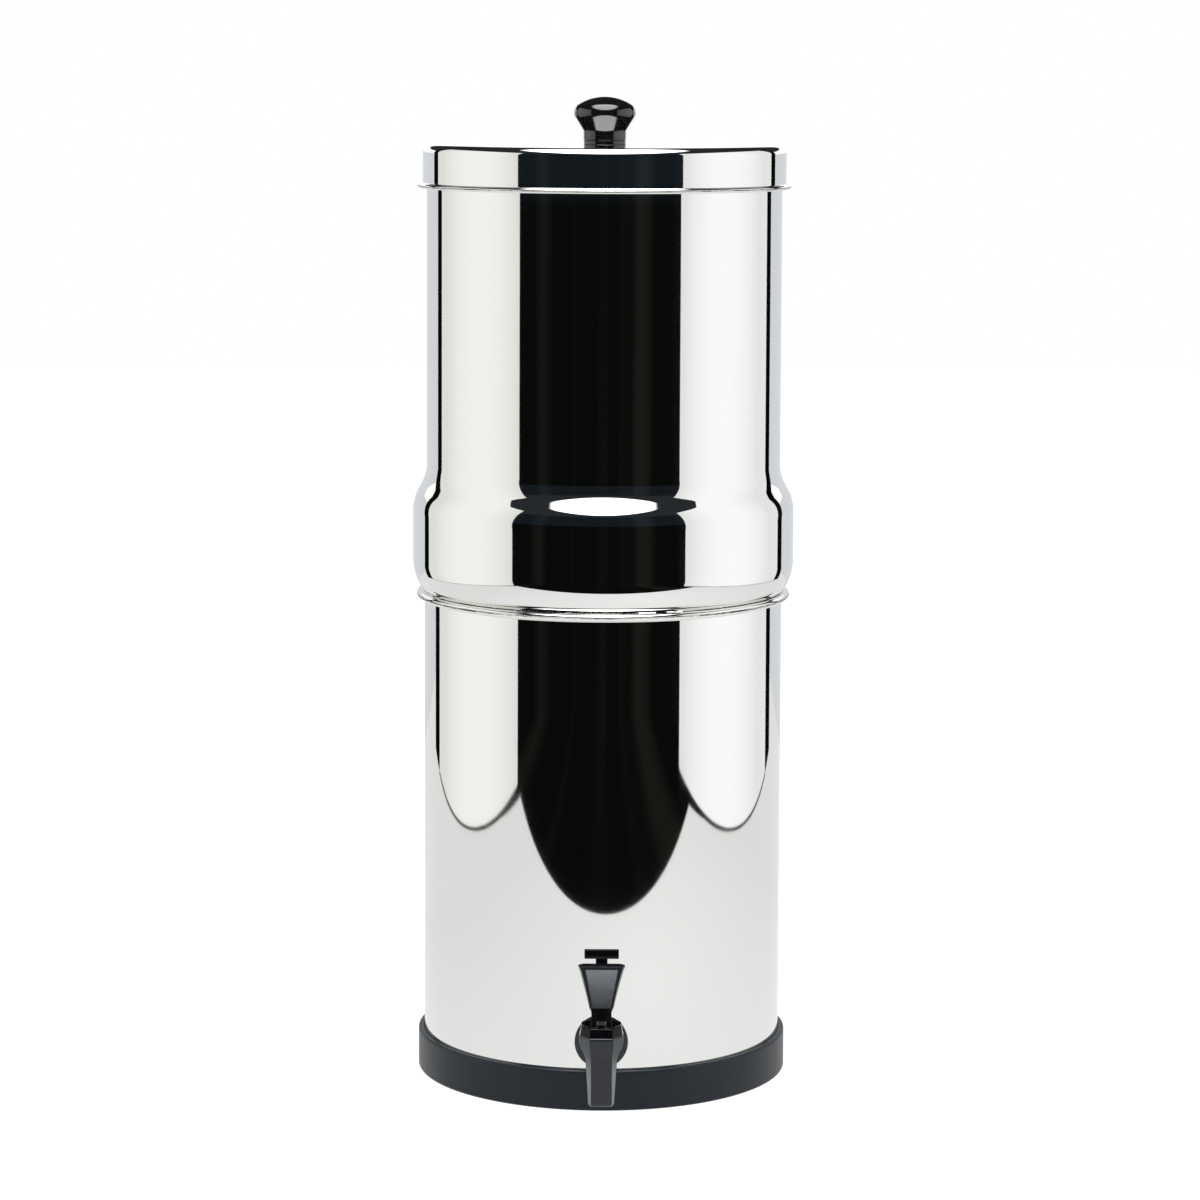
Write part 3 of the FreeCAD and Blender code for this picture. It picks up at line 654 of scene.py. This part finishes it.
class FILTER_OT_tap_bonnet(bpy.types.Operator):
    """Turn the tap's rounded screw cap"""
    bl_idname = "water_filter.tap_bonnet"
    bl_label = "Tap Bonnet"

    def execute(self, context):
        (_, front, low), (reach, back, high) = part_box("tap_bonnet")
        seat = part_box("tap_body")[1][2]
        stem_hole, crown, skirt, room = 3 * MM, 10.4 * MM, 9.3 * MM, 7.6 * MM
        ceiling = high - 2.9 * MM
        bm = turned([
            (stem_hole, high, 0.2 * MM), (crown, high, 1.6 * MM), (reach, high - 3.8 * MM, 1.8 * MM),
            (reach, seat, 0.4 * MM), (skirt, seat, 0.1 * MM), (skirt, low, 0.2 * MM), (room, low, 0.2 * MM),
            (room, ceiling, 0), (stem_hole, ceiling, 0.2 * MM),
        ], centre=(0, (front + back) / 2, 0), steps=96)
        # Painted shade: the cap takes the darker copy of the tap's nylon.
        piece = new_piece("tap_bonnet_cap", bm, "root", finish_for("tap_painted_shade"), ["tap_bonnet"])
        keep_unmirrored(piece)
        return {"FINISHED"}


class FILTER_OT_tap_lever(bpy.types.Operator):
    """Build the tap's lever: cam cheeks, flared paddle with a sunk panel, and T-shaped tab"""
    bl_idname = "water_filter.tap_lever"
    bl_label = "Tap Lever"

    def execute(self, context):
        s = context.scene.filter_sizes
        self.y, self.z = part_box("tap_body")[0][1] + s.barrel, s.pin_height
        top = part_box("tap_lever")[1][2]
        # Painted shade: the cheeks, web and tab take the darker copy of the tap's nylon.
        dark = [self.cheek(-6.5, -3.2), self.cheek(3.2, 6.5), self.web(), *self.tab(top)]
        for part in dark:
            for face in part.faces:
                face.material_index = 2
        piece = new_piece("tap_lever_moulding", merged(*dark, self.paddle()), "tap_lever",
                          finish_for("tap_plastic"), ["tap_lever"])
        # Slot 1 is the painted highlight graded up the panel, slot 2 the painted shade, slot 3 the painted
        # highlight on the edges.
        for key in ("lever_panel_painted_light", "tap_painted_shade", "lever_rim_highlight"):
            piece.data.materials.append(finish_for(key))
        shade_by_angle(piece)
        keep_unmirrored(piece)
        return {"FINISHED"}

    def place(self, x, y, z):
        """A point given in millimetres from the lever's pin."""
        return Vector((x * MM, self.y + y * MM, self.z + z * MM))

    def cheek(self, low_x, high_x):
        """One cheek of the foot, whose involute toe rolls on the bonnet's crown and lifts the stem evenly."""
        rise, drop = STEM_RISE / LEVER_SWING, 4.8
        side = [(5.0, -drop)]
        for k in range(13):
            a = LEVER_SWING * k / 12
            side.append((-(drop + rise * a) * math.sin(a) - rise * math.cos(a),
                         -(drop + rise * a) * math.cos(a) + rise * math.sin(a)))
        side += [(-6.5, 3.5), (-4.5, 9.0), (4.5, 9.0), (5.0, 2.0)]
        return lofted([[self.place(x, *p) for p in side] for x in (low_x, high_x)], 0.3 * MM)

    def web(self):
        """Front wall and roof that join the cheeks."""
        side = [(-7.0, 0.5), (-4.2, 0.5), (-4.2, 4.5), (4.4, 4.5), (4.4, 9.0), (-4.5, 9.0), (-6.4, 3.5)]
        return lofted([[self.place(x, *p) for p in side] for x in (-6.4, 6.4)], 0.3 * MM)

    def paddle(self):
        """Flared paddle, thicker at its top, with painted highlights on its edges, painted shade on its frame
        and a sunk tapered panel with a painted highlight that grows towards its top.
        """
        # A row is a height above the pin, half the width, the thickness, the lean and half the panel's width.
        rows = [(5.5, 6.5, 9.0, 0.0, 5.6), (7.5, 7.2, 8.0, -0.6, 6.2)]
        for k in range(8):
            t = k / 7
            rows.append((9 + 26.4 * t, 8 + 6.3 * t ** 1.12, 7 + 2.3 * t, -1 - 4.5 * t, 6.9 + 4.6 * t))
        rows.append((37.3, 15.1, 9.5, -6.0, 12.2))
        sections = []
        for z, half, thick, y, panel in rows:
            cut, lean = thick / 3, 0.16 * (half - panel)
            edge = min(1.0, (half - panel) / 2)
            rim, rim_y = half - edge, lean * (1 - edge / (half - panel)) - thick / 2
            front = ((-half, lean - thick / 2), (-rim, rim_y), (-panel, -thick / 2),
                     (panel, -thick / 2), (rim, rim_y), (half, lean - thick / 2))
            back = ((half, thick / 2 - cut), (half - cut, thick / 2), (cut - half, thick / 2),
                    (-half, thick / 2 - cut))
            sections.append([self.place(a, y + b, z) for a, b in front + back])
        bm = lofted(sections)
        low, high = self.z + 7.8 * MM, self.z + 35 * MM
        panel = []
        # Painted light on the paddle's front: faces that touch a side wall get the painted edge highlight, the
        # rest get the painted shade of the frame.
        for face in [f for f in bm.faces if f.normal.y < -0.7]:
            at_side = any(abs(f.normal.x) > 0.7 for v in face.verts for f in v.link_faces)
            face.material_index = 3 if at_side else 2
            middle = face.calc_center_median()
            if abs(middle.x) < MM and low < middle.z < high:
                panel.append(face)
        bmesh.ops.inset_region(bm, faces=panel, thickness=0.9 * MM, depth=-1.2 * MM, use_even_offset=True)
        # The sunk panel takes the painted highlight that grows up its height.
        for face in panel:
            face.material_index = 1
        round_edges(bm, 0.35 * MM, sharp=14.0)
        return bm

    def tab(self, top):
        """Neck and crossbar of the tab on the paddle's top."""
        z, back = (top - self.z) / MM, -1.25
        bars = []
        for half, low, high in ((3.8, 35.0, z - 5.0), (11.1, z - 5.9, z)):
            sections = []
            for height, front in ((low, -4.25), (high, -3.7)):
                ring = ((-half, front), (half, front), (half, back), (-half, back))
                sections.append([self.place(a, b, height) for a, b in ring])
            bars.append(lofted(sections, 0.45 * MM))
        return bars


class FILTER_OT_plain_nodes(bpy.types.Operator):
    """Give the construction's own pieces their finishes"""
    bl_idname = "water_filter.plain_nodes"
    bl_label = "Inner Pieces"

    def execute(self, context):
        slots = {p["node"]: p["material_slot"] for p in frame["record"]["subparts"]}
        for name in frame["nodes"]:
            dress_node(name, slots[name])
        return {"FINISHED"}


# Stage


# Fitted camera, in the photo's 1200 px frame, metres and degrees
PHOTO_PX = 1200
CAMERA_FOCAL_PX = 3726
CAMERA_ROW_PX = 409.5
CAMERA_PITCH = 5.209
CAMERA_ROLL = 0.232
CAMERA_TURN = 0.0
CAMERA_DISTANCE = 2.509
CAMERA_ASIDE = -0.0025
CAMERA_HEIGHT = 0.678

# Fitted studio, in metres and degrees
TABLE_EDGE = -0.685
TABLE_SKEW = 0.042
ROOM_REACH = 2.0
FLAG_FLOOR_FRONT = -1.8
FLAG_FLOOR_LIFT = 0.001
GAP_LIFT = 0.0015
GAP_EDGE = ((0.885, TABLE_EDGE - 0.05), (0.930, -0.43), (0.940, -0.03))
PANEL_X = 0.956
PANEL_FRONT_LEFT = -0.72
PANEL_FRONT_RIGHT = -0.87
PANEL_BACK = 0.66
PANEL_TOP = 1.22
STRIP_BACK = 0.85
STRIP_TOP = 2.0
BACKDROP_Y = 1.2
BACKDROP_SPLIT = 0.62
BACKDROP_TOP = 0.95
FLAG_RADIUS = 1.6
FLAG_TURN = 80
FLAG_FOOT = -0.4
FLAG_TOP = 1.27
TOP_LIGHT = (0.0, -0.9, 2.0)
TOP_REACH = (1.06, 1.5)
TOP_STRENGTH = 6.0
LAMPS = (("key_left", (-1.6, -1.2, 1.5), 1.2, 22), ("key_right", (1.6, -1.0, 1.4), 1.2, 22),
         ("top", (0, -0.4, 2.2), 1.6, 26))
LAMP_AIM = (0, 0, 0.3)


def arc_card(name, radius, turn_from, turn_to, low, high, material, steps=48):
    """A curved upright card round the filter. Turn 0 faces -Y, and positive turns go towards +X."""
    bm = bmesh.new()
    start = math.radians(turn_from)
    verts = [bm.verts.new((radius * math.sin(start), -radius * math.cos(start), z)) for z in (low, high)]
    edge = bm.edges.new(verts)
    bmesh.ops.spin(bm, geom=verts + [edge], cent=(0, 0, 0), axis=(0, 0, 1),
                   angle=math.radians(turn_to - turn_from), steps=steps, use_merge=False, use_duplicate=False)
    return stage_piece(name, bm, material)


def stage_piece(name, bm, material, reflected_only=True):
    """Turns a bmesh into a piece of the stage, which only the polished steel shows unless it says otherwise."""
    mesh = bpy.data.meshes.new(name)
    bm.to_mesh(mesh)
    bm.free()
    mesh.materials.append(material)
    piece = bpy.data.objects.new(name, mesh)
    bpy.context.scene.collection.objects.link(piece)
    if reflected_only:
        for ray in ("camera", "diffuse", "shadow", "transmission", "volume_scatter"):
            setattr(piece, f"visible_{ray}", False)
    return piece


def card(name, corners, material):
    """A flat reflected card through its corners."""
    bm = bmesh.new()
    bmesh.ops.contextual_create(bm, geom=[bm.verts.new(p) for p in corners])
    return stage_piece(name, bm, material)


def upright(start, end, low, high):
    """Corners of an upright card between two places on the floor."""
    return ((*start, low), (*end, low), (*end, high), (*start, high))


def gap(name, side, material):
    """Dark gap between the table's side and the softbox, wider at the table's front corner."""
    bm = bmesh.new()
    inner = (*GAP_EDGE, (GAP_EDGE[-1][0], PANEL_BACK))
    rows = [[bm.verts.new((side * reach, y, GAP_LIFT)) for reach in (x, PANEL_X)] for x, y in inner]
    for (a, b), (c, d) in zip(rows, rows[1:]):
        bm.faces.new((a, b, d, c))
    return stage_piece(name, bm, material)


def glowing(material, **inputs):
    """Ends a stage material in light of a set or linked colour and strength."""
    tree = material.node_tree
    light = add(tree, "ShaderNodeEmission", inputs)
    add(tree, "ShaderNodeOutputMaterial", {"Surface": light.outputs[0]})
    return material


def dark_room():
    """Near-black studio beyond the table, with faint bluish and brownish upright streaks."""
    material, tree = empty_material("dark_room")
    place = add(tree, "ShaderNodeTexCoord").outputs["Object"]
    flat = add(tree, "ShaderNodeMapping", {"Vector": place, "Scale": (1, 0.02, 0.02)}).outputs[0]
    streak = spread(tree, noise(tree, flat, 0.40, detail=1.0), 0, 1, 0.50, 0.75)
    low = tinted(tree, streak, hex_to_linear("#0a0b0b"), hex_to_linear("#1f201b"))
    height = add(tree, "ShaderNodeSeparateXYZ", {0: place}).outputs["Z"]
    high = tinted(tree, streak, hex_to_linear("#161c21"), hex_to_linear("#252b30"))
    tone = add(tree, "ShaderNodeMix", {0: spread(tree, height, 0, 1, 0.535, 0.56), 6: low, 7: high},
               data_type="RGBA")
    return glowing(material, Color=tone.outputs[2], Strength=1.0)


def overhead():
    """Round softbox above the filter, fading to its rim."""
    material, tree = empty_material("overhead_softbox")
    place = add(tree, "ShaderNodeTexCoord").outputs["Object"]
    x, y, z = TOP_LIGHT
    wide, deep = TOP_REACH
    squashed = add(tree, "ShaderNodeMapping", {"Vector": place, "Scale": (1 / wide, 1 / deep, 1)})
    middle = (x / wide, y / deep, z)
    away = add(tree, "ShaderNodeVectorMath", {0: squashed.outputs[0], 1: middle}, operation="DISTANCE")
    return glowing(material, Strength=spread(tree, away.outputs["Value"], TOP_STRENGTH, 0.02, 0.80, 1.0))


def softbox(name, rgb, strength, middle):
    """Upright softbox along Y, brightest at its middle."""
    material, tree = empty_material(name)
    place = add(tree, "ShaderNodeTexCoord").outputs["Object"]
    along = add(tree, "ShaderNodeSeparateXYZ", {0: place}).outputs["Y"]
    off = add(tree, "ShaderNodeMath", {0: along, 1: middle}, operation="SUBTRACT").outputs[0]
    square = add(tree, "ShaderNodeMath", {0: off, 1: off}, operation="MULTIPLY").outputs[0]
    return glowing(material, Color=(*rgb, 1), Strength=spread(tree, square, strength, strength * 0.80, 0, 0.35))


def glow(name, rgb, strength):
    """Even light of one colour."""
    return glowing(empty_material(name)[0], Color=(*rgb, 1), Strength=strength)


class FILTER_OT_stage(bpy.types.Operator):
    """Add the floor, the studio cards, the lights and the camera"""
    bl_idname = "water_filter.stage"
    bl_label = "Photo Stage"

    def execute(self, context):
        scene = context.scene
        scene.view_settings.view_transform = "Standard"
        self.floor(scene)
        self.cards()
        self.world(scene)
        self.lights(scene)
        self.camera(scene)
        return {"FINISHED"}

    def floor(self, scene):
        """White to the camera but for the filter's soft shadow, and pale in the steel, where a painted pool of
        light fades away from a spot in front of the filter.
        """
        rgb = scene.filter_colours.floor
        material, tree = empty_material("pale_sweep")
        path = add(tree, "ShaderNodeLightPath")
        paint = add(tree, "ShaderNodeBsdfDiffuse", {"Color": (*shade_of(rgb, 0.45), 1)})
        base = add(tree, "ShaderNodeEmission", {"Color": (*rgb, 1), "Strength": 0.86})
        seen = add(tree, "ShaderNodeAddShader", {0: paint.outputs[0], 1: base.outputs[0]})
        place = add(tree, "ShaderNodeTexCoord").outputs["Object"]
        away = add(tree, "ShaderNodeVectorMath", {0: place, 1: (0.2, -0.4, 0)},
                   operation="DISTANCE").outputs["Value"]
        # Painted pool of light: the table seen in the steel glows brightest at a spot in front of the filter
        # and fades over 0.9 m.
        table = add(tree, "ShaderNodeEmission", {"Color": (*hex_to_linear("#fbfbfc"), 1), "Strength":
                                                 spread(tree, away, 1.04, 0.88, 0.0, 0.9)})
        lit = add(tree, "ShaderNodeBsdfDiffuse", {"Color": (*rgb, 1)})
        first = add(tree, "ShaderNodeMixShader", {0: path.outputs["Is Camera Ray"], 1: lit.outputs[0],
                                                  2: seen.outputs[0]})
        mix = add(tree, "ShaderNodeMixShader", {0: path.outputs["Is Glossy Ray"], 1: first.outputs[0],
                                                2: table.outputs[0]})
        add(tree, "ShaderNodeOutputMaterial", {"Surface": mix.outputs[0]})
        bm = bmesh.new()
        bmesh.ops.create_grid(bm, x_segments=1, y_segments=1, size=6.0)
        stage_piece("floor", bm, material, reflected_only=False)

    def cards(self):
        """Softboxes, flags and backdrops that only the polished steel shows."""
        dark = dark_room()
        black = glow("black_flag", hex_to_linear("#060606"), 1.0)
        warm = softbox("warm_softbox", hex_to_linear("#fffffd"), 1.07, -0.12)
        cool = softbox("cool_softbox", hex_to_linear("#fdfdff"), 1.17, -0.20)
        grey = glow("grey_backdrop", hex_to_linear("#dde1e6"), 1.0)
        white = glow("white_backdrop", (1, 1, 1), 1.15)
        arc_card("flag_front", FLAG_RADIUS, -FLAG_TURN, FLAG_TURN, FLAG_FOOT, FLAG_TOP, dark)
        for side, name, soft, front in ((-1, "left", warm, PANEL_FRONT_LEFT),
                                        (1, "right", cool, PANEL_FRONT_RIGHT)):
            x = side * PANEL_X
            card(f"softbox_{name}", upright((x, front), (x, PANEL_BACK), 0, PANEL_TOP), soft)
            card(f"flag_back_{name}", upright((x, PANEL_BACK), (x, STRIP_BACK), 0, STRIP_TOP), black)
            gap(f"gap_{name}", side, black)
        left, right = (-ROOM_REACH, BACKDROP_Y), (ROOM_REACH, BACKDROP_Y)
        card("backdrop_low", upright(left, right, 0, BACKDROP_SPLIT), grey)
        card("backdrop_high", upright(left, right, BACKDROP_SPLIT, BACKDROP_TOP), white)
        # The table ends in front of the filter, and the dark room shows beyond it.
        edge = ((-ROOM_REACH, TABLE_EDGE - 2 * TABLE_SKEW), (ROOM_REACH, TABLE_EDGE + 2 * TABLE_SKEW))
        front = ((ROOM_REACH, FLAG_FLOOR_FRONT), (-ROOM_REACH, FLAG_FLOOR_FRONT))
        card("flag_floor", [(x, y, FLAG_FLOOR_LIFT) for x, y in edge + front], dark)
        bm = bmesh.new()
        bmesh.ops.create_circle(bm, cap_ends=True, segments=96, radius=1.0,
                                matrix=Matrix.Translation(TOP_LIGHT) @ Matrix.Diagonal((*TOP_REACH, 1, 1)))
        stage_piece("overhead_softbox", bm, overhead())

    def world(self, scene):
        """Pale room light, white to the camera and dim in the steel."""
        world = bpy.data.worlds.new("studio")
        scene.world = world
        world.use_nodes = True
        tree = world.node_tree
        tree.nodes.clear()
        path = add(tree, "ShaderNodeLightPath")
        room = add(tree, "ShaderNodeBackground", {"Color": (*hex_to_linear("#f4f5f6"), 1), "Strength": 0.7})
        white = add(tree, "ShaderNodeBackground", {"Color": (1, 1, 1, 1), "Strength": 1.0})
        dim = add(tree, "ShaderNodeBackground", {"Color": (*hex_to_linear("#2a2d31"), 1), "Strength": 1.0})
        first = add(tree, "ShaderNodeMixShader", {0: path.outputs["Is Camera Ray"], 1: room.outputs[0],
                                                  2: white.outputs[0]})
        mix = add(tree, "ShaderNodeMixShader", {0: path.outputs["Is Glossy Ray"], 1: first.outputs[0],
                                                2: dim.outputs[0]})
        add(tree, "ShaderNodeOutputWorld", {"Surface": mix.outputs[0]})

    def lights(self, scene):
        """Large lamps for the black mouldings and the shadow."""
        for name, place, size, power in LAMPS:
            data = bpy.data.lights.new(name, "AREA")
            data.size = size
            data.energy = power
            lamp = bpy.data.objects.new(name, data)
            lamp.location = place
            aim = Vector(LAMP_AIM) - Vector(place)
            lamp.rotation_euler = aim.to_track_quat("-Z", "Y").to_euler()
            lamp.visible_glossy = False
            scene.collection.objects.link(lamp)

    def camera(self, scene):
        """Camera at the photo's angle, from a fit of the filter's silhouettes in the 1200 px frame."""
        data = bpy.data.cameras.new("photo_camera")
        data.sensor_width = 36.0
        data.lens = CAMERA_FOCAL_PX / PHOTO_PX * data.sensor_width
        data.shift_y = (CAMERA_ROW_PX - PHOTO_PX / 2) / PHOTO_PX
        data.clip_end = 50
        camera = bpy.data.objects.new("photo_camera", data)
        turn = math.radians(CAMERA_TURN)
        back = Vector((math.sin(turn), -math.cos(turn), 0))
        side = Vector((math.cos(turn), math.sin(turn), 0))
        camera.location = back * CAMERA_DISTANCE + side * CAMERA_ASIDE + Vector((0, 0, CAMERA_HEIGHT))
        look = (Matrix.Rotation(turn, 4, "Z") @ Matrix.Rotation(math.radians(90 - CAMERA_PITCH), 4, "X")
                @ Matrix.Rotation(math.radians(CAMERA_ROLL), 4, "Z"))
        camera.rotation_euler = look.to_euler()
        scene.collection.objects.link(camera)
        scene.camera = camera


PIECES = (FILTER_OT_plain_nodes, FILTER_OT_base_ring, FILTER_OT_lower_chamber, FILTER_OT_upper_chamber,
          FILTER_OT_lid, FILTER_OT_knob, FILTER_OT_tap_body, FILTER_OT_tap_bonnet, FILTER_OT_tap_lever,
          FILTER_OT_stage)


class FILTER_PT_panel(bpy.types.Panel):
    """Lists the filter's colours, sizes and pieces"""
    bl_idname = "FILTER_PT_panel"
    bl_label = "Water Filter"
    bl_space_type = "VIEW_3D"
    bl_region_type = "UI"
    bl_category = "Water Filter"

    def draw(self, context):
        for group in (context.scene.filter_colours, context.scene.filter_sizes):
            box = self.layout.box()
            for key in group.__annotations__:
                box.prop(group, key)
        for piece in PIECES:
            self.layout.operator(piece.bl_idname)


CLASSES = (FilterColours, FilterSizes, *PIECES, FILTER_PT_panel)


def register():
    for cls in CLASSES:
        bpy.utils.register_class(cls)
    bpy.types.Scene.filter_colours = PointerProperty(type=FilterColours)
    bpy.types.Scene.filter_sizes = PointerProperty(type=FilterSizes)


def unregister():
    del bpy.types.Scene.filter_sizes
    del bpy.types.Scene.filter_colours
    for cls in reversed(CLASSES):
        bpy.utils.unregister_class(cls)


def main():
    """Builds every piece and the stage."""
    register()
    for piece in PIECES:
        group, name = piece.bl_idname.split(".")
        getattr(getattr(bpy.ops, group), name)()
    bpy.context.view_layer.update()


if __name__ == "__main__":
    main()
